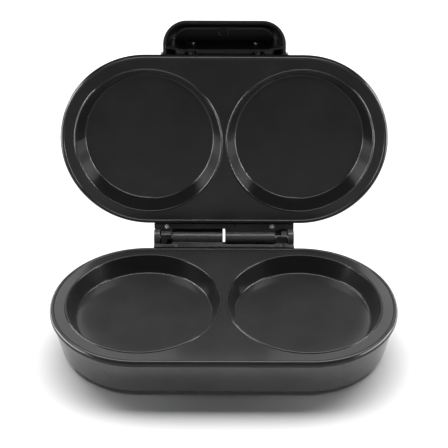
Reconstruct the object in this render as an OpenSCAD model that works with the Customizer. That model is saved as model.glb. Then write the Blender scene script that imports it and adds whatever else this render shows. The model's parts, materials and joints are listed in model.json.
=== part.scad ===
// Two-cup electric omelette maker, standing open on its rubber feet.
// Millimetres. +Z up, +Y towards the hinge, X across the two cups.
// Origin: on the table, under the middle of the base casing.
// The lid half is laid out like the base half, then turned over and opened about the hinge axis.

/* [Casing] */
// Overall width across the plate edges
body_w = 255; // [250:0.5:262]
// Overall depth across the plate edges, without hinge and handle
body_d = 135.56; // [134:0.1:138]
// Wall thickness of the moulded casings
shell_t = 2.2; // [1.8:0.1:2.5]
// Height of the rubber feet below the casing
foot_h = 4; // [3:0.5:6]

/* [Cook plates] */
// Inner diameter of a cup at its rim
cup_d = 112; // [104:0.5:113]
// Depth of a cup below the flat of the plate
cup_depth = 12.45; // [9:0.05:12.6]
// Distance between the two cup centres
cup_pitch = 117.7; // [117:0.1:118.2]
// Gap between the flats of the two plates with the lid shut
plate_gap = 2; // [1.8:0.1:2.6]

/* [Hinge] */
// Opening angle of the lid as it rests on its stop
lid_open = 102.5; // [0:0.5:102.5]
// Outside diameter of the hinge barrels
barrel_d = 9; // [8:0.1:9.6]
// Diameter of the steel hinge pin
pin_d = 3; // [2.4:0.1:3.4]

/* [Handle] */
// Width of the lift handle
handle_w = 92; // [80:1:100]
// Reach of the lift handle in front of the casing rim
handle_reach = 25.6; // [22:0.2:28]
// Corner radius of the lift handle, seen from above
handle_r = 18; // [12:1:20]

/* [Hidden] */
$fn = 96;
e = 0.05;
R = body_d / 2;                 // end radius of the plate edge
a = body_w / 2 - R;             // half length of the straight sides
zc0 = foot_h;                   // underside of the casing
zp = foot_h + 33;               // flat of the lower plate
zr = zp - 4.5;                  // casing rim, below the plate edge
zs = zp - 3;                    // seat of the hinge leaf
zh = zp + plate_gap / 2;        // hinge axis height
yh = R + 11.8;                  // hinge axis depth
Rs = R - 1.28;                  // casing rim, inside the plate edge
re = 2.3;                       // rounding of the plate edge
cx = cup_pitch / 2;             // cup centre
rf = 3;                         // bottom corner of the casing
rc = Rs - 7.4;
zc = zc0 + rf;
dl = acos(rf / norm([Rs - rc, zr - zc])) - atan2(zr - zc, Rs - rc); // draft of the casing wall
t = shell_t;
px = 13;                        // plate screw posts
py = 50;
hx0 = 34;                       // rear leg, inner and outer side
hx1 = 56;
sv = 8.23;                      // stop face, measured from the hinge axis
su = 6.57;
sv2 = 12.48;
su2 = 10.0;
wall_a = 24;                    // slope of the cup wall from upright
hz = 18.9 + (zp - 37);          // heater rod centre height
hy = 24;                        // heater rod distance from the middle line
hzr = 3.2;                      // heater rod radius
clx = cx - 6;                   // heater clips

// ---------- placing ----------
// turns a half over about the hinge axis line, as the lid half of the same moulding
module over() { translate([0, 0, 2 * zh]) rotate([0, 180, 0]) children(); }
// opens the lid half about the hinge pin
module opened() { translate([0, yh, zh]) rotate([-lid_open, 0, 0]) translate([0, -yh, -zh]) children(); }
module lid_half() { opened() over() children(); }

// sweeps a section (distance out, height) round the long outline with round ends
module sweep() {
    for (k = [-1, 1]) translate([k * a, 0, 0]) rotate([0, 0, -90 * k]) rotate_extrude(angle = 180) children();
    for (k = [0, 1]) rotate([0, 0, 180 * k]) translate([-a, 0, 0]) rotate([90, 0, 90]) linear_extrude(2 * a) children();
}
// extrudes a (depth, height) section across the width between x0 and x1
module across(x0, x1) { translate([x0, 0, 0]) rotate([90, 0, 90]) linear_extrude(x1 - x0) children(); }
module cyl_x(x0, x1, r) { translate([x0, 0, 0]) rotate([0, 90, 0]) cylinder(h = x1 - x0, r = r); }
module cyl_y(y0, y1, r) { translate([0, y0, 0]) rotate([-90, 0, 0]) cylinder(h = y1 - y0, r = r); }
// flat rectangle with rounded corners
module rrect(x0, y0, x1, y1, r) {
    translate([x0 + r, y0]) square([x1 - x0 - 2 * r, y1 - y0]);
    translate([x0, y0 + r]) square([x1 - x0, y1 - y0 - 2 * r]);
    for (x = [x0 + r, x1 - r]) for (y = [y0 + r, y1 - r]) translate([x, y]) circle(r = r);
}
// a round rod between two points
module rod(p, q, r) {
    d = q - p;
    L = norm(d);
    translate(p) rotate([0, acos(d[2] / L), atan2(d[1], d[0])]) cylinder(h = L, r = r, $fn = 24);
}
// a lead through a list of points
module lead(pts, r) {
    for (i = [0 : len(pts) - 2]) rod(pts[i], pts[i + 1], r);
    for (i = [1 : len(pts) - 2]) translate(pts[i]) sphere(r = r * 1.04, $fn = 24);
}

// ---------- casing ----------
// section of the casing, moved in by d: drafted wall, small bottom radius
module shell2d(d) {
    polygon([[0, zc0 + d], [rc, zc0 + d], [rc, zc], [rc + (rf - d) * cos(dl), zc - (rf - d) * sin(dl)], [Rs - d / cos(dl), zr], [0, zr]]);
    translate([rc, zc]) circle(r = rf - d);
}
// side section of a rear leg, moved in by d; its slanted face is the lid's open stop
module leg2d(d, y0) {
    polygon([[y0, zc0 + 0.4 + d], [yh + su2 - d, zc0 + 0.4 + d], [yh + su2 - d, zh - sv2 - d * 0.35],
             [yh + su - d * 0.42, zh - sv - d], [R - 6, zh - sv - d], [y0, zh - sv - d]]);
}
module leg_plan(d) { rrect(hx0 + d, 30, hx1 - d, yh + su2 - d, 4 - d); }
module casing(lid) {
    difference() {
        union() {
            difference() {
                union() {
                    sweep() shell2d(0);
                    // seat for the hinge leaf
                    across(-56, 56) polygon([[R - 4.6, zr - 1.5], [R + 0.35, zr - 1.5], [R + 0.35, zs], [R + 4.9, zs], [R + 4.9, zp - 7.5], [R - 3.8, zr - 13.5], [R - 5.2, zr - 13.5]]);
                    // ledge between the rear legs, behind the barrels
                    for (m = [0, 1]) mirror([m, 0, 0]) across(lid ? 0.95 : -1, hx0 + 1)
                        polygon([[R - 4.5, zh - sv - 2.4], [R - 4.5, zh - sv], [yh + su - 0.3, zh - sv], [yh + su + 1.6, zh - sv - 2.4]]);
                    // rear legs
                    for (m = [0, 1]) mirror([m, 0, 0]) intersection() {
                        across(hx0, hx1) leg2d(0, 52);
                        translate([0, 0, 0]) linear_extrude(60) leg_plan(0);
                    }
                }
                sweep() shell2d(t);
                // the legs are hollow towards the inside
                for (m = [0, 1]) mirror([m, 0, 0]) intersection() {
                    across(hx0 + t, hx1 - t) leg2d(t, 45);
                    linear_extrude(60) leg_plan(t);
                }
            }
            // screw posts with a shoulder for the reflector
            for (x = [-px, px]) for (y = [-py, py]) translate([x, y, zc0 + 0.5]) {
                cylinder(h = 8.5, r = 6.8);
                cylinder(h = 15.2, r = 5.2);
            }
            // rests under the plate rim at the two ends
            for (k = [-1, 1]) for (y = [-16, 16]) translate([k > 0 ? R + a - 11.1 : -(R + a - 11.1) - 4.1, y - 1.2, zc0 + 14]) cube([4.1, 2.4, 10.8]);
            // ribs on the floor
            for (x = [-60, -30, 30, 60]) translate([x - 0.9, -48, zc0 + t - e]) cube([1.8, 96, 2.6]);
            if (!lid) {
                // collar round the cord inlet
                translate([0, 0, zc0 + 11]) cyl_y(R - 9, R + 3.2, 9);
                // pillars under the terminal block
                for (x = [-11, 11]) translate([x, 34.5, zc0 + t - e]) cylinder(h = 1.9, r = 3);
            }
            if (lid) {
                // seat for the handle on the front wall
                for (x = [-26, 26]) translate([x, 0, zc0 + 17]) cyl_y(-(R - 4.4), -(R - 9), 4.6);
                // posts for the lamp holder
                for (x = [-19, 19]) translate([x, -30, zc0 + t - e]) cylinder(h = 3, r = 2.6);
            }
        }
        // screw wells
        for (x = [-px, px]) for (y = [-py, py]) translate([x, y, zc0 - 1]) {
            cylinder(h = 9, r = 4.2);
            cylinder(h = 30, r = 2.2);
        }
        // screw holes of the hinge leaf
        for (x = [-38.5, 46.1]) translate([x, yh - 9.3, zp - 8]) cylinder(h = 10, r = 1.05);
        if (!lid) {
            // stem holes of the feet
            for (p = [[-75, -38], [75, -38], [-45, 80], [45, 80]]) translate([p[0], p[1], zc0 - 1]) cylinder(h = 6, r = 2.6);
            // cord inlet
            translate([0, 0, zc0 + 11]) cyl_y(R - 12, R + 8, 5.7);
            // steady holes of the terminal block
            for (x = [-11, 11]) translate([x, 34.5, zc0 + t + 0.4]) cylinder(h = 3, r = 1.2);
        }
        if (lid) {
            for (x = [-26, 26]) translate([x, 0, zc0 + 17]) cyl_y(-(R + 5), -(R - 12), 2.1);
            // windows for the two lamps
            for (x = [-9, 9]) translate([x, -30, zc0 - 1]) cylinder(h = 6, r = 3.6);
            for (x = [-19, 19]) translate([x, -30, zc0 + t + 0.4]) cylinder(h = 4, r = 1.05);
        }
    }
}

// ---------- cook plate ----------
cr = cup_d / 2;                 // inner radius where the wall meets the bead
br = 0.95;                      // bead radius
bcr = cr + br;                  // bead centre
bcz = zp - 0.3;
// where wall and bead touch
tx = bcr - br * cos(wall_a);
tz = bcz + br * sin(wall_a);
fz = zp - cup_depth;            // cup floor
fr = tx - (tz - fz) * tan(wall_a);
cf = 1.5;                       // floor fillet
tl = cf * tan((90 - wall_a) / 2);
module cup2d(d) {
    // hollow of the cup (d = 0) or its outside (d = wall)
    fx = fr - tl;
    polygon([[0, fz - d], [fx, fz - d], [fx, fz + cf], [fx + (cf + d) * cos(wall_a), fz + cf - (cf + d) * sin(wall_a)],
             [tx + d / cos(wall_a) + (zp - 0.4 - tz) * tan(wall_a), zp - 0.4],
             [0, zp - 0.4]]);
    translate([fx, fz + cf]) circle(r = cf + d);
}
module cup_mouth2d() {
    // widening of the hollow above the flat, up the inside of the bead
    polygon([[0, zp - 0.45], [tx + (zp - 0.45 - tz) * tan(wall_a), zp - 0.45], [tx, tz], [bcr - br, tz + 1.5], [0, tz + 1.5]]);
}
module plate() {
    difference() {
        union() {
            sweep() {
                translate([0, zp - 2.5]) square([R - re, 2.5]);
                // rounded edge with a square underside
                translate([R - re - 2.3, zp - 3]) square([2.3, 0.5]);
                intersection() {
                    translate([R - re, zp - re]) circle(r = re);
                    translate([R - re, zp - 3]) square([re + 1, 3]);
                }
                // skirt inside the casing wall
                translate([R - 6.78, zp - 8]) square([2.2, 5.5]);
            }
            for (k = [-1, 1]) translate([k * cx, 0, 0]) rotate_extrude() cup2d(2.3);
            // bead round each cup
            for (k = [-1, 1]) translate([k * cx, 0, 0]) rotate_extrude() translate([bcr, bcz]) circle(r = br);
            // screw bosses under the flat
            for (x = [-px, px]) for (y = [-py, py]) translate([x, y, zp - 17.1]) cylinder(h = 15, r = 3.9);
            // pads for the heater clips under the cup floors
            for (k = [-1, 1]) for (y = [-hy - 9, hy + 9]) translate([k * clx, y, fz - 4.3]) cylinder(h = 3, r = 3.4);
            // pads for the thermostat
            for (x = [-10.5, 10.5]) translate([x, -42, zp - 5.5]) cylinder(h = 4, r = 2.6);
        }
        for (k = [-1, 1]) translate([k * cx, 0, 0]) rotate_extrude() { cup2d(0); cup_mouth2d(); }
        for (x = [-px, px]) for (y = [-py, py]) translate([x, y, zp - 18]) cylinder(h = 14.5, r = 2.0);
        for (k = [-1, 1]) for (y = [-hy - 9, hy + 9]) translate([k * clx, y, fz - 5]) cylinder(h = 3.6, r = 1.25);
        for (x = [-10.5, 10.5]) translate([x, -42, zp - 6]) cylinder(h = 4.2, r = 1.25);
    }
}

// ---------- hinge ----------
module notch(x0, x1) { translate([x0, yh - 7.5, zs - 1]) cube([x1 - x0, 3, 6]); }
module leaf(pin_bore) {
    difference() {
        union() {
            // mounting strip
            difference() {
                translate([-56, R + 0.4, zs + 0.02]) cube([112, yh - 6.3 - R - 0.4, zp - zs - 0.02]);
                notch(-51, -41.8);
                notch(-0.7, 41.7);
                notch(51, 57);
            }
            // barrel and its web
            translate([0, yh, zh]) cyl_x(-41.4, -1.05, barrel_d / 2);
            translate([-41.4, yh - 6.6, zh - 4.5]) cube([40.35, 6.6, 3.1]);
            translate([-41.4, yh - 6.6, zh - 4.5]) cube([40.35, 2.2, 3.5]);
            // ear
            difference() {
                across(42, 50.6) {
                    rrect(yh - 5, zh - 4.6, yh + 5, zh + 5, 1.4);
                    translate([yh - 7, zh - 4]) square([5, 3]);
                }
                // wire window
                translate([41, yh - 3.6, zh - 0.7]) cube([5.0, 10.2, 7]);
            }
            // cheek
            across(-56, -51.4) {
                translate([yh, zh]) circle(r = 6.9);
                translate([yh - 7.4, zh - 4]) square([7.4, 3.02]);
            }
        }
        translate([0, yh, zh]) { cyl_x(-60, -2.9, pin_bore / 2); cyl_x(40, 60, pin_bore / 2); }
        // recesses and holes of the two fixing screws
        for (x = [-38.5, 46.1]) translate([x, yh - 9.3, 0]) {
            translate([0, 0, zs - 2]) cylinder(h = 8, r = 1.15);
            translate([0, 0, zp - 1.1]) cylinder(h = 3, r = 2.05);
        }
    }
}
// pan head screw along -Z: head top at z = 0
module screw(rh, hh, rs, L) {
    difference() {
        union() {
            translate([0, 0, -hh]) cylinder(h = hh, r = rh, $fn = 32);
            translate([0, 0, -hh - L]) cylinder(h = L + 0.1, r = rs, $fn = 24);
        }
        for (q = [0, 90]) rotate([0, 0, q]) translate([-rh * 0.62, -rh * 0.14, -hh * 0.55]) cube([rh * 1.24, rh * 0.28, hh]);
    }
}
module leaf_screws() {
    for (x = [-38.5, 46.1]) translate([x, yh - 9.3, zp - 0.15]) screw(1.92, 0.9, 0.95, 6.6);
}
module plate_screws() {
    for (x = [-px, px]) for (y = [-py, py]) translate([x, y, zc0 + 5.4]) rotate([180, 0, 0]) screw(3.7, 2.55, 1.95, 19.5);
}

// ---------- heater ----------
module heater() {
    for (k = [-1, 1]) translate([k * cx, 0, hz]) rotate([0, 0, -90 * k]) rotate_extrude(angle = 180) translate([hy, 0]) circle(r = hzr, $fn = 32);
    translate([0, -hy, hz]) cyl_x(-cx, cx, hzr);
    for (k = [-1, 1]) {
        translate([0, hy, hz]) cyl_x(k > 0 ? 16 : -cx, k > 0 ? cx : -16, hzr);
        // ceramic bush and terminal stud
        translate([0, hy, hz]) cyl_x(k > 0 ? 12 : -16, k > 0 ? 16 : -12, 2.6);
        translate([0, hy, hz]) cyl_x(k > 0 ? 4.5 : -12.1, k > 0 ? 12.1 : -4.5, 1.2);
    }
}
module heater_clips() {
    for (k = [-1, 1]) for (m = [0, 1]) mirror([0, m, 0]) translate([k * clx, 0, 0]) {
        difference() {
            translate([0, hy, hz]) cyl_x(-5, 5, hzr + 1.0);
            translate([0, hy, hz]) cyl_x(-6, 6, hzr + 0.15);
            translate([-6, hy - 8, hz + 0.9]) cube([12, 16, 8]);
        }
        difference() {
            translate([-5, hy + hzr + 0.15, fz - 5.35]) cube([10, 9.8, 1.0]);
            translate([0, hy + 9, fz - 7]) cylinder(h = 4, r = 1.5);
            translate([0, hy, hz]) cyl_x(-6, 6, hzr + 0.15);
        }
    }
}
module clip_screws() {
    for (k = [-1, 1]) for (y = [-hy - 9, hy + 9]) translate([k * clx, y, fz - 6.6]) rotate([180, 0, 0]) screw(2.4, 1.2, 1.2, 3.6);
}
module reflector() {
    difference() {
        sweep() {
            translate([0, zc0 + 9.02]) square([53, 0.6]);
            translate([52.4, zc0 + 9.02]) square([0.6, 6]);
        }
        for (x = [-px, px]) translate([x, -py, zc0 + 8]) cylinder(h = 12, r = 5.5);
        // open in the middle for terminals and wiring
        translate([-24, 8, zc0 + 5]) cube([48, 60, 16]);
        translate([-27, -40, zc0 + 8]) cube([54, 20, 4]);
    }
}

// ---------- electrical parts ----------
module thermostat() {
    translate([0, -42, 0]) {
        translate([0, 0, zp - 6.3]) cylinder(h = 3.7, r = 6.4);
        difference() {
            translate([-14, -3.4, zp - 6.3]) cube([28, 6.8, 0.7]);
            for (x = [-10.5, 10.5]) translate([x, 0, zp - 8]) cylinder(h = 4, r = 1.5);
        }
        translate([0, 0, zp - 14]) cylinder(h = 8, r = 6.1);
        for (x = [-3.6, 3.6]) translate([x - 1.6, -0.4, zp - 19]) cube([3.2, 0.8, 5.5]);
    }
}
module thermostat_screws() {
    for (x = [-10.5, 10.5]) translate([x, -42, zp - 7.6]) rotate([180, 0, 0]) screw(2.4, 1.2, 1.2, 4);
}
module thermal_fuse() {
    translate([0, 46, zp - 5.6]) {
        cyl_x(-6, 6, 2.2);
        cyl_x(-9, -5.9, 0.6);
        cyl_x(5.9, 9, 0.6);
    }
}
module terminal_block() {
    difference() {
        translate([-15, 29, zc0 + t + 2]) cube([30, 11, 8.6]);
        for (x = [-10, 0, 10]) {
            translate([x, 0, zc0 + t + 5.6]) cyl_y(28, 41, 1.7);
            translate([x, 34.5, zc0 + t + 6]) cylinder(h = 6, r = 1.9);
        }
        for (x = [-5, 5]) translate([x - 0.6, 28, zc0 + t + 7.6]) cube([1.2, 14, 4]);
    }
    for (x = [-11, 11]) translate([x, 34.5, zc0 + t + 0.6]) cylinder(h = 1.5, r = 1.1);
}
module terminal_screws() {
    for (x = [-10, 0, 10]) translate([x, 34.5, zc0 + t + 9.4]) screw(1.75, 1.4, 1.1, 2.2);
}
module base_leads() {
    zt = zc0 + t + 5.6;
    lead([[-10, 39.5, zt], [-10, 42, zt], [-10, 42, zp - 8], [-9.95, 46, zp - 5.6]], 0.9);
    lead([[10, 29.5, zt], [10, 27, zt], [6, 24, hz - 3.5], [6, 24, hz - 1.3]], 0.9);
    lead([[-10, 29.5, zt], [-10, 27, zt], [-6, 24, hz - 3.5], [-6, 24, hz - 1.3]], 0.9);
}
module cord_gland() {
    translate([0, 0, zc0 + 11]) difference() {
        union() {
            cyl_y(R - 11, R + 6, 5.55);
            cyl_y(R + 3.3, R + 5.4, 8);
            cyl_y(R - 11, R - 9.1, 6.8);
        }
        cyl_y(R - 13, R + 9, 3.4);
    }
}
module feet() {
    // the pair under the rear legs is 0.4 taller
    for (p = [[-75, -38, 0], [75, -38, 0], [-45, 80, 0.4], [45, 80, 0.4]]) translate([p[0], p[1], 0]) {
        cylinder(h = 1.2, r1 = 6.2, r2 = 7);
        translate([0, 0, 1.2]) cylinder(h = foot_h + p[2] - 1.25, r = 7);
        translate([0, 0, 1]) cylinder(h = foot_h + p[2] + t - 0.9, r = 2.5);
        translate([0, 0, foot_h + p[2] + t + 0.05]) cylinder(h = 1.5, r = 3.3);
    }
}
module plugs() {
    for (x = [-px, px]) for (y = [-py, py]) translate([x, y, zc0]) {
        cylinder(h = 1.6, r = 4.1);
        translate([0, 0, 1.5]) difference() { cylinder(h = 3, r = 3.6); translate([0, 0, 0.2]) cylinder(h = 4, r = 2.6); }
    }
}

// ---------- handle, laid out like the rest of the lid half: open side up ----------
hc = handle_r;                  // corner radius at the open rim
hdx = handle_w / 2 - hc;        // corner centres
hdy = -(R + handle_reach) + hc;
hdr = 13;                       // draft of the handle's outer wall
hz1 = zp - 1;                   // open rim
hz0 = zp - 22;                  // roof
hq = 6;                         // roof edge radius
ht = 1.6;                       // wall
// half section of the hood, moved in by d
module hood2d(d, top) {
    zq = hz0 + hq;
    rq = hc - (hz1 - zq) * tan(hdr) - hq / cos(hdr);
    polygon([[0, hz0 + d], [rq, hz0 + d], [rq, zq], [rq + (hq - d) * cos(hdr), zq - (hq - d) * sin(hdr)],
             [hc - d / cos(hdr) + (top - hz1) * tan(hdr), top], [0, top]]);
    translate([rq, zq]) circle(r = hq - d);
}
// the hood's outline: two round front corners, straight front and sides
module hood(d, top) {
    for (k = [-1, 1]) translate([k * hdx, hdy, 0]) rotate_extrude() hood2d(d, top);
    translate([0, hdy, 0]) across(-hdx, hdx) { mirror([1, 0]) hood2d(d, top); translate([0, hz0 + d]) square([-(hdy) - R + 8, top - hz0 - d]); }
    for (k = [0, 1]) mirror([k, 0, 0]) translate([hdx, hdy, 0]) rotate([90, 0, 0]) mirror([0, 0, 1]) linear_extrude(-(hdy) - R + 8) hood2d(d, top);
}
module handle() {
    difference() {
        union() {
            difference() {
                hood(0, hz1);
                hood(ht, hz1 + 2);
            }
            // rear wall of the hollow, leaning, with a lip near the rim and turned ends
            multmatrix([[1, 0, 0, 0], [0, 1, 0.205, -0.205 * (zp - 2.4)], [0, 0, 1, 0]])
                translate([0, 0, hz0 + 1]) linear_extrude(zp - 3.4 - hz0) {
                    polygon([[-handle_w / 2 + 1.2, -(R + 5.2)], [-32, -(R + 2.4)], [32, -(R + 2.4)], [handle_w / 2 - 1.2, -(R + 5.2)],
                             [handle_w / 2 - 1.2, -(R + 6.8)], [32.2, -(R + 4)], [-32.2, -(R + 4)], [-handle_w / 2 + 1.2, -(R + 6.8)]]);
                }
            // faint round mark on the floor of the hollow
            translate([0.9, -(R + 13), hz0 + 1]) difference() { cylinder(h = 1.1, r = 3.75); translate([0, 0, -1]) cylinder(h = 4, r = 3.0); }
            // screw bosses against the casing wall
            for (x = [-26, 26]) translate([x, 0, zc0 + 17]) cyl_y(-(R + 7.3), -(R - 6), 4.2);
            // small flares where the side walls meet the casing rim
            for (k = [-1, 1]) translate([k * (handle_w / 2 + 0.3), 0, 0]) difference() {
                translate([-1.9, -(R + 2.4), zr - 6]) cube([3.8, 6, zp - 1 - zr + 6]);
                translate([k * 2.2, -(R + 2.5), zr - 12]) cylinder(h = 40, r = 2.3);
            }
        }
        // the back follows the casing wall
        across(-70, 70) shell_clear2d();
        across(-70, 70) translate([-(R + 0.35), zr - 0.25]) square([20, 12]);
        for (x = [-26, 26]) translate([x, 0, zc0 + 17]) cyl_y(-(R + 4), -(R - 8), 1.45);
    }
}
module shell_clear2d() { mirror([1, 0]) shell2d(-0.1); }
module handle_screws() {
    for (x = [-26, 26]) translate([x, -(R - 11.1), zc0 + 17]) rotate([-90, 0, 0]) screw(3.2, 2, 1.4, 12);
}

// ---------- lamps ----------
module lens(x) {
    translate([x, -30, 0]) {
        translate([0, 0, zc0 - 0.9]) cylinder(h = 0.9, r1 = 2.6, r2 = 3.4);
        translate([0, 0, zc0 - 0.05]) cylinder(h = t + 0.15, r = 3.4);
        translate([0, 0, zc0 + t + 0.05]) cylinder(h = 1, r = 4.6);
    }
}
module lamp_holder() {
    difference() {
        translate([-22, -34.5, zc0 + t + 3.05]) cube([44, 9, 3]);
        for (x = [-9, 9]) translate([x, -30, zc0]) cylinder(h = 20, r = 2.75);
        for (x = [-19, 19]) translate([x, -30, zc0]) cylinder(h = 20, r = 1.3);
    }
}
module lamps() {
    for (x = [-9, 9]) translate([x, -30, zc0 + t + 1.4]) {
        cylinder(h = 8, r = 2.6);
        translate([0, 0, 8]) cylinder(h = 2.5, r = 0.9);
    }
}
module upper_leads() {
    // lamps to the heater studs
    for (m = [-1, 1]) lead([[m * 9, -30, zc0 + t + 12], [m * 9, -30, hz + 5.1], [m * 4, -4, hz + 1.4], [m * 6, 24, hz + 3.9], [m * 6, 24, hz + 1.3]], 0.8);
    // studs to the hinge ear
    lead([[10.4, 24, hz - 1.3], [10.4, 24, hz - 4.1], [22, 50, hz + 2.6], [44, 58.8, hz + 8.1]], 0.9);
    lead([[-10.4, 24, hz - 1.3], [-10.4, 24, hz - 7.4], [0, 50, hz - 7.4], [3, 57.5, hz - 3.9], [42, 58.5, hz + 1.1]], 0.9);
}

// ---------- nodes ----------
module base_casing() { color("#3c3d3f") casing(false); }
module lower_plate() { color("#4a4b4d") plate(); }
module lower_hinge_leaf() { color("#2e2f31") leaf(pin_d + 0.04); }
module hinge_pins() { color("#3a3b3d") translate([0, yh, zh]) { cyl_x(-55, -3, pin_d / 2); cyl_x(3, 55, pin_d / 2); } }
module lower_leaf_screws() { color("#77797c") leaf_screws(); }
module lower_plate_screws() { color("#8c8f93") plate_screws(); }
module rubber_feet() { color("#1c1c1d") feet(); }
module lower_heater() { color("#6d6a66") heater(); }
module lower_heater_clips() { color("#a9abae") heater_clips(); }
module lower_clip_screws() { color("#8c8f93") clip_screws(); }
module lower_reflector() { color("#c4c7ca") reflector(); }
module base_leads_n() { color("#d8d6cf") base_leads(); }
module lid_casing() { color("#37383a") lid_half() casing(true); }
module upper_plate() { color("#303133") lid_half() plate(); }
module upper_hinge_leaf() { color("#2e2f31") lid_half() leaf(pin_d + 0.12); }
module upper_leaf_screws() { color("#77797c") lid_half() leaf_screws(); }
module upper_plate_screws() { color("#8c8f93") lid_half() plate_screws(); }
module screw_plugs() { color("#37383a") lid_half() plugs(); }
module upper_heater() { color("#6d6a66") lid_half() heater(); }
module upper_heater_clips() { color("#a9abae") lid_half() heater_clips(); }
module upper_clip_screws() { color("#8c8f93") lid_half() clip_screws(); }
module upper_reflector() { color("#c4c7ca") lid_half() reflector(); }
module handle_n() { color("#101011") lid_half() handle(); }
module handle_screws_n() { color("#8c8f93") lid_half() handle_screws(); }

base_casing();
lower_plate();
lower_hinge_leaf();
hinge_pins();
lower_leaf_screws();
lower_plate_screws();
rubber_feet();
lower_heater();
lower_heater_clips();
lower_clip_screws();
lower_reflector();
color("#b0a68c") thermostat();
color("#8c8f93") thermostat_screws();
color("#cfd2d4") thermal_fuse();
color("#e6e2d6") terminal_block();
color("#b59a55") terminal_screws();
base_leads_n();  // base_leads
color("#1c1c1d") cord_gland();
lid_casing();
upper_plate();
upper_hinge_leaf();
upper_leaf_screws();
upper_plate_screws();
screw_plugs();
upper_heater();
upper_heater_clips();
upper_clip_screws();
upper_reflector();
handle_n();  // handle
handle_screws_n();  // handle_screws
color("#a8201c") lid_half() lens(-9);  // power_lens
color("#1f8a3a") lid_half() lens(9);  // ready_lens
color("#d9d7d0") lid_half() lamp_holder();
color("#e8e2d0") lid_half() lamps();  // indicator_lamps
color("#d8d6cf") lid_half() upper_leads();
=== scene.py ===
import bpy, bmesh, math, json
from mathutils import Matrix, Vector

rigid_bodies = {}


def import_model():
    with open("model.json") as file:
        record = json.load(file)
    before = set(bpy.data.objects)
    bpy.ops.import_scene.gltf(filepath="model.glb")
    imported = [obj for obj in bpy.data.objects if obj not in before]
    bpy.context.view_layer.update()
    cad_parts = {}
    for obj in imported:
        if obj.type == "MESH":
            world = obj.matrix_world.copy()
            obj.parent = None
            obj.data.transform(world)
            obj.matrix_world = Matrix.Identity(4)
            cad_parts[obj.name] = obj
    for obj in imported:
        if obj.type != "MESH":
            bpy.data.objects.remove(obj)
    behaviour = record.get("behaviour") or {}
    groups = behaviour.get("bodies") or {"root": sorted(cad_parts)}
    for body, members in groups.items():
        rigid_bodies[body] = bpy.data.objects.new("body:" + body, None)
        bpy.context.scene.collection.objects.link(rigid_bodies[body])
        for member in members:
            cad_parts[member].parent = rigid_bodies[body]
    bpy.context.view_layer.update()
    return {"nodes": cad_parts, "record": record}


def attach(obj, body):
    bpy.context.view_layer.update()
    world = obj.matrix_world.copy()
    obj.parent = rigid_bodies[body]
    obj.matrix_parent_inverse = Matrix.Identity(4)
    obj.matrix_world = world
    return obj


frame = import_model()
N = frame["nodes"]
REC = frame["record"]
scn = bpy.context.scene

# ---------------------------------------------------------------- camera
el, roll = math.radians(33.872), math.radians(0.164)
fwd = Vector((0, math.cos(el), -math.sin(el)))
right = Vector((1, 0, 0))
up = right.cross(fwd)
r2 = right * math.cos(roll) + up * math.sin(roll)
u2 = -right * math.sin(roll) + up * math.cos(roll)
cam_data = bpy.data.cameras.new("camera")
cam_data.sensor_fit = "HORIZONTAL"
cam_data.sensor_width = 36.0
cam_data.lens = 36.0 * 912.91 / 448.0
cam_data.clip_start = 0.02
cam_data.clip_end = 50
cam = bpy.data.objects.new("camera", cam_data)
M = Matrix(((r2.x, u2.x, -fwd.x, 0.0), (r2.y, u2.y, -fwd.y, -0.52608), (r2.z, u2.z, -fwd.z, 0.45805), (0, 0, 0, 1)))
cam.matrix_world = M
scn.collection.objects.link(cam)
scn.camera = cam

# ---------------------------------------------------------------- materials
def new_mat(name):
    m = bpy.data.materials.new(name)
    m.use_nodes = True
    nt = m.node_tree
    b = nt.nodes["Principled BSDF"]
    return m, nt, b

def coords(nt):
    t = nt.nodes.new("ShaderNodeTexCoord")
    return t.outputs["Object"]

def noise(nt, vec, scale, detail=3.0, rough=0.5, dist=0.0):
    n = nt.nodes.new("ShaderNodeTexNoise")
    n.inputs["Scale"].default_value = scale
    n.inputs["Detail"].default_value = detail
    n.inputs["Roughness"].default_value = rough
    n.inputs["Distortion"].default_value = dist
    nt.links.new(vec, n.inputs["Vector"])
    return n.outputs["Fac"]

def ramp(nt, fac, p0, c0, p1, c1):
    r = nt.nodes.new("ShaderNodeValToRGB")
    e = r.color_ramp.elements
    e[0].position, e[0].color = p0, (*c0, 1) if len(c0) == 3 else c0
    e[1].position, e[1].color = p1, (*c1, 1) if len(c1) == 3 else c1
    nt.links.new(fac, r.inputs["Fac"])
    return r.outputs["Color"]

def grey(v):
    return (v, v, v)

def mix(nt, fac, a, b, kind="MIX"):
    m = nt.nodes.new("ShaderNodeMix")
    m.data_type = "RGBA"
    m.blend_type = kind
    for s, v in ((m.inputs["Factor"], fac), (m.inputs["A"], a), (m.inputs["B"], b)):
        if hasattr(v, "is_linked") or hasattr(v, "links"):
            nt.links.new(v, s)
        elif isinstance(v, (int, float)):
            s.default_value = v
        else:
            s.default_value = (*v, 1)
    return m.outputs["Result"]

def bump(nt, b, height, strength, distance, normal=None):
    n = nt.nodes.new("ShaderNodeBump")
    n.inputs["Strength"].default_value = strength
    n.inputs["Distance"].default_value = distance
    nt.links.new(height, n.inputs["Height"])
    if normal is not None:
        nt.links.new(normal, n.inputs["Normal"])
    return n.outputs["Normal"]

def bevel(nt, radius):
    n = nt.nodes.new("ShaderNodeBevel")
    n.samples = 6
    n.inputs["Radius"].default_value = radius
    return n.outputs["Normal"]

# pointiness mask of convex edges, used for the painted edge highlight
def edge(nt, lo=0.52, hi=0.60):
    g = nt.nodes.new("ShaderNodeNewGeometry")
    return ramp(nt, g.outputs["Pointiness"], lo, grey(0), hi, grey(1))

# painted shade: ambient occlusion darkens the colour in corners, gaps and cup edges
def painted_crevice_shade(nt, reach):
    n = nt.nodes.new("ShaderNodeAmbientOcclusion")
    n.samples = 8
    n.inputs["Distance"].default_value = reach
    return ramp(nt, n.outputs["AO"], 0.2, grey(0.12), 0.6, grey(1))

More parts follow.
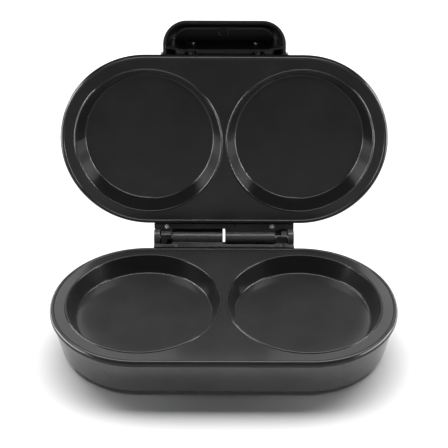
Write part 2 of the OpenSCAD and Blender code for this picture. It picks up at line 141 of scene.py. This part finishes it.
def plastic(name, col, col2, rough0, rough1, grain, grain_amt, spec=0.5, painted_edge_highlight=None, bev=0.0004, coat=0.0, coat_rough=0.1, shade_reach=None):
    m, nt, b = new_mat(name)
    v = coords(nt)
    blot = noise(nt, v, 38, 3, 0.55)
    fine = noise(nt, v, grain, 2.0, 0.6)
    c = ramp(nt, blot, 0.35, col, 0.68, col2)
    # painted highlight: convex edges are lightened toward a pale colour to stand in for edge highlights
    if painted_edge_highlight:
        w = mix(nt, edge(nt), c, painted_edge_highlight)
        c = w
    # painted shade: multiply the colour by the occlusion so crevices go dark
    if shade_reach:
        c = mix(nt, 1.0, c, painted_crevice_shade(nt, shade_reach), "MULTIPLY")
    nt.links.new(c, b.inputs["Base Color"])
    rr = ramp(nt, noise(nt, v, 95, 4, 0.6, 0.4), 0.3, grey(rough0), 0.7, grey(rough1))
    nt.links.new(rr, b.inputs["Roughness"])
    b.inputs["Specular IOR Level"].default_value = spec
    b.inputs["Coat Weight"].default_value = coat
    b.inputs["Coat Roughness"].default_value = coat_rough
    nrm = bevel(nt, bev)
    n2 = bump(nt, b, fine, grain_amt, 0.00012, nrm)
    nt.links.new(n2, b.inputs["Normal"])
    return m

def metal(name, col, rough, grain=900, amt=0.15, stretch=None, metallic=1.0):
    m, nt, b = new_mat(name)
    v = coords(nt)
    if stretch:
        mp = nt.nodes.new("ShaderNodeMapping")
        mp.inputs["Scale"].default_value = stretch
        nt.links.new(v, mp.inputs["Vector"])
        v2 = mp.outputs["Vector"]
    else:
        v2 = v
    f = noise(nt, v2, grain, 3, 0.6)
    c = ramp(nt, noise(nt, v, 70, 3, 0.6), 0.3, tuple(x * 0.82 for x in col), 0.7, col)
    nt.links.new(c, b.inputs["Base Color"])
    b.inputs["Metallic"].default_value = metallic
    rr = ramp(nt, f, 0.3, grey(rough * 0.8), 0.7, grey(min(1, rough * 1.25)))
    nt.links.new(rr, b.inputs["Roughness"])
    n2 = bump(nt, b, f, amt, 0.0001, bevel(nt, 0.0002))
    nt.links.new(n2, b.inputs["Normal"])
    return m

MAT = {
    "casing_plastic": plastic("casing_plastic", (0.034, 0.034, 0.0352), (0.042, 0.042, 0.0432), 0.17, 0.20, 2600, 0.06, 0.62, None, 0.0003),
    # coated plate gets painted crevice shade within 3 mm
    "coated_plate": plastic("coated_plate", (0.025, 0.025, 0.026), (0.031, 0.031, 0.032), 0.15, 0.18, 1800, 0.05, 0.22, None, 0.0002, shade_reach=0.003),
    # hinge and handle plastics carry a painted edge highlight colour (lighter convex edges)
    "hinge_plastic": plastic("hinge_plastic", (0.024, 0.024, 0.025), (0.030, 0.030, 0.031), 0.26, 0.32, 2600, 0.08, 0.5, (0.10, 0.10, 0.10), 0.0003),
    "handle_plastic": plastic("handle_plastic", (0.004, 0.004, 0.0045), (0.006, 0.006, 0.006), 0.28, 0.34, 1400, 0.05, 0.5, (0.03, 0.03, 0.03), 0.0004),
    "pin_steel": metal("pin_steel", (0.56, 0.57, 0.59), 0.3, 700, 0.1, (0.1, 1, 1)),
    "screw_steel": metal("screw_steel", (0.34, 0.34, 0.35), 0.30, 1500, 0.2),
    "brass": metal("brass", (0.72, 0.55, 0.27), 0.3),
    "rubber": plastic("rubber", (0.016, 0.016, 0.017), (0.024, 0.024, 0.024), 0.75, 0.88, 1500, 0.3, 0.3, None, 0.0004),
    "heater_sheath": metal("heater_sheath", (0.20, 0.18, 0.16), 0.5),
    "clip_steel": metal("clip_steel", (0.5, 0.5, 0.52), 0.35),
    "reflector_aluminium": metal("reflector_aluminium", (0.75, 0.76, 0.78), 0.22, 400, 0.2, (0.15, 1, 1)),
    "thermostat_metal": metal("thermostat_metal", (0.6, 0.57, 0.5), 0.35),
    "fuse_metal": metal("fuse_metal", (0.66, 0.67, 0.68), 0.25),
    "pale_plastic": plastic("pale_plastic", (0.70, 0.68, 0.62), (0.78, 0.76, 0.70), 0.45, 0.55, 1500, 0.1),
    "lead_insulation": plastic("lead_insulation", (0.66, 0.64, 0.58), (0.74, 0.72, 0.66), 0.6, 0.7, 3000, 0.3),
    "red_lens": plastic("red_lens", (0.42, 0.02, 0.015), (0.5, 0.03, 0.02), 0.08, 0.14, 600, 0.03),
    "green_lens": plastic("green_lens", (0.02, 0.30, 0.07), (0.03, 0.36, 0.09), 0.08, 0.14, 600, 0.03),
    "lamp_glass": plastic("lamp_glass", (0.75, 0.7, 0.58), (0.8, 0.75, 0.62), 0.06, 0.1, 600, 0.03),
}
for sp in REC["subparts"]:
    o = N[sp["node"]]
    o.data.materials.clear()
    o.data.materials.append(MAT[sp["material_slot"]])

# ---------------------------------------------------------------- raised rim round each cook plate
def rim(name, body, place):
    R, a, zp, rr = 0.06778, 0.05972, 0.037, 0.002
    off, zc = R - 0.00218, zp - 0.00155
    path = []
    for k in range(65):
        t = math.radians(-90 + 180 * k / 64)
        path.append((a, math.cos(t), math.sin(t)))
    for k in range(65):
        t = math.radians(90 + 180 * k / 64)
        path.append((-a, math.cos(t), math.sin(t)))
    sec = [(rr * math.cos(math.radians(g)), rr * math.sin(math.radians(g))) for g in range(-10, 191, 10)]
    bm = bmesh.new()
    rings = [[bm.verts.new((cx + (off + u) * c, (off + u) * q, zc + v)) for u, v in sec] for cx, c, q in path]
    n, m = len(rings), len(sec)
    for i in range(n):
        A, B = rings[i], rings[(i + 1) % n]
        for j in range(m):
            f = bm.faces.new((A[j], B[j], B[(j + 1) % m], A[(j + 1) % m]))
            f.smooth = j < m - 1
    bmesh.ops.recalc_face_normals(bm, faces=bm.faces)
    me = bpy.data.meshes.new(name)
    bm.to_mesh(me)
    bm.free()
    me.materials.append(MAT["coated_plate"])
    o = bpy.data.objects.new(name, me)
    scn.collection.objects.link(o)
    o.matrix_world = place
    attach(o, body)
    return o
yh, zh = 0.07958, 0.038
lid_place = Matrix.Translation((0, yh, zh)) @ Matrix.Rotation(math.radians(-102.5), 4, "X") @ Matrix.Translation((0, -yh, zh)) @ Matrix.Rotation(math.pi, 4, "Y")
lower_rim = rim("lower_plate_rim", "base", Matrix.Identity(4))
upper_rim = rim("upper_plate_rim", "lid", lid_place)

# ---------------------------------------------------------------- stage and light
def floor():
    me = bpy.data.meshes.new("floor")
    s = 6.0
    me.from_pydata([(-s, -s, 0), (s, -s, 0), (s, s, 0), (-s, s, 0)], [], [(0, 1, 2, 3)])
    o = bpy.data.objects.new("floor", me)
    scn.collection.objects.link(o)
    m, nt, b = new_mat("floor")
    v = coords(nt)
    c = ramp(nt, noise(nt, v, 9, 2), 0.3, (0.80, 0.80, 0.80), 0.7, (0.82, 0.82, 0.82))
    nt.links.new(c, b.inputs["Base Color"])
    b.inputs["Roughness"].default_value = 0.9
    b.inputs["Specular IOR Level"].default_value = 0.1
    me.materials.append(m)
    return o
floor()

w = bpy.data.worlds.new("world")
scn.world = w
w.use_nodes = True
bg = w.node_tree.nodes["Background"]
bg.inputs["Color"].default_value = (1, 1, 1, 1)
bg.inputs["Strength"].default_value = 0.05

def area(name, loc, target, size, size_y, power, shape="RECTANGLE"):
    d = bpy.data.lights.new(name, "AREA")
    d.shape = shape
    d.size, d.size_y = size, size_y
    d.energy = power
    o = bpy.data.objects.new(name, d)
    o.location = loc
    dirv = Vector(target) - Vector(loc)
    o.rotation_euler = dirv.to_track_quat("-Z", "Y").to_euler()
    scn.collection.objects.link(o)
    return o
def linked(name, objs):
    c = bpy.data.collections.new(name)
    scn.collection.children.link(c)
    for o in objs:
        c.objects.link(o)
    return c
pieces = linked("lit_pieces", [o for o in bpy.data.objects if o.type == "MESH" and o.name != "floor"])
ground = linked("lit_floor", [bpy.data.objects["floor"]])
base_only = linked("base_blockers", [N[n] for n in REC["behaviour"]["bodies"]["base"]] + [lower_rim])
# softbox behind and above, for the floor and the soft shadow under the base
back = area("back", (0.0, 0.70, 1.54), (0, -0.02, 0), 3.0, 0.9, 70)
back.light_linking.receiver_collection = ground
back.light_linking.blocker_collection = base_only
# even light on the floor in front
fill = area("fill", (0.0, -1.25, 0.6), (0, -1.25, 0), 3.0, 0.8, 1.6)
fill.light_linking.receiver_collection = ground
fill.light_linking.blocker_collection = ground
for k in (-1, 1):
    d = bpy.data.lights.new("corner", "SPOT")
    d.energy, d.spot_size, d.spot_blend, d.shadow_soft_size = 8.0, math.radians(14), 1.0, 0.10
    o = bpy.data.objects.new("corner", d)
    o.location = (k * 0.33, -0.26, 0.6)
    o.rotation_euler = (Vector((k * 0.150, -0.062, 0)) - o.location).to_track_quat("-Z", "Y").to_euler()
    scn.collection.objects.link(o)
    o.light_linking.receiver_collection = ground
    o.light_linking.blocker_collection = base_only
# studio lights on the pieces
top = area("top", (0.0, 0.62, 1.6), (0, 0.0, 0), 2.0, 0.9, 56)
rear = area("rear", (0.0, 1.5, 1.15), (0, 0.0, 0), 2.6, 0.7, 15)
front = area("front", (0.0, -0.5, 0.78), (0, 0.06, 0.18), 0.6, 0.3, 2.8)
left = area("left", (-0.42, 0.10, 0.06), (0, 0.10, 0.06), 0.8, 0.11, 2.8)
right = area("right", (0.42, 0.10, 0.06), (0, 0.10, 0.06), 0.8, 0.11, 2.8)
high = linked("lit_from_above", [o for o in pieces.objects if o.name not in (N["upper_plate"].name, "upper_plate_rim")])
for o in (top, rear):
    o.light_linking.receiver_collection = high
low = linked("lit_from_low", [o for o in pieces.objects if o.name != N["lower_plate"].name])
for o in (left, right):
    o.light_linking.receiver_collection = low
front.light_linking.receiver_collection = linked("lit_lid", [N[n] for n in REC["behaviour"]["bodies"]["lid"] if n not in ("handle", "upper_hinge_leaf")] + [upper_rim])
# strip lights that show only as highlights on the rounded edges
sides = [area("side", (k * 1.25, -0.05, 0.55), (0, 0.03, 0.05), 1.1, 0.5, 36) for k in (-1, 1)]
shiny = linked("lit_edges", [o for o in pieces.objects if o.name not in (N["lid_casing"].name, N["base_casing"].name)])
for o in sides:
    o.light_linking.receiver_collection = shiny
    o.visible_diffuse = False
brims = [area("brim", (k * 0.55, -0.33, 0.2), (0, 0.08, 0.1), 0.4, 0.4, 6) for k in (-1, 1)]
brims.append(area("brim", (0, -0.55, 0.85), (0, 0.06, 0.15), 1.2, 0.4, 10))
for o in brims:
    o.light_linking.receiver_collection = front.light_linking.receiver_collection
    o.visible_diffuse = False
wall = area("wall", (0.0, -0.85, 0.10), (0, 0.0, 0.02), 1.0, 0.12, 6.0)
wall.light_linking.receiver_collection = linked("lit_base_casing", [N["base_casing"]])
for o in (left, right):
    o.visible_diffuse = False
scn.view_settings.view_transform = "Standard"
scn.view_settings.look = "None"
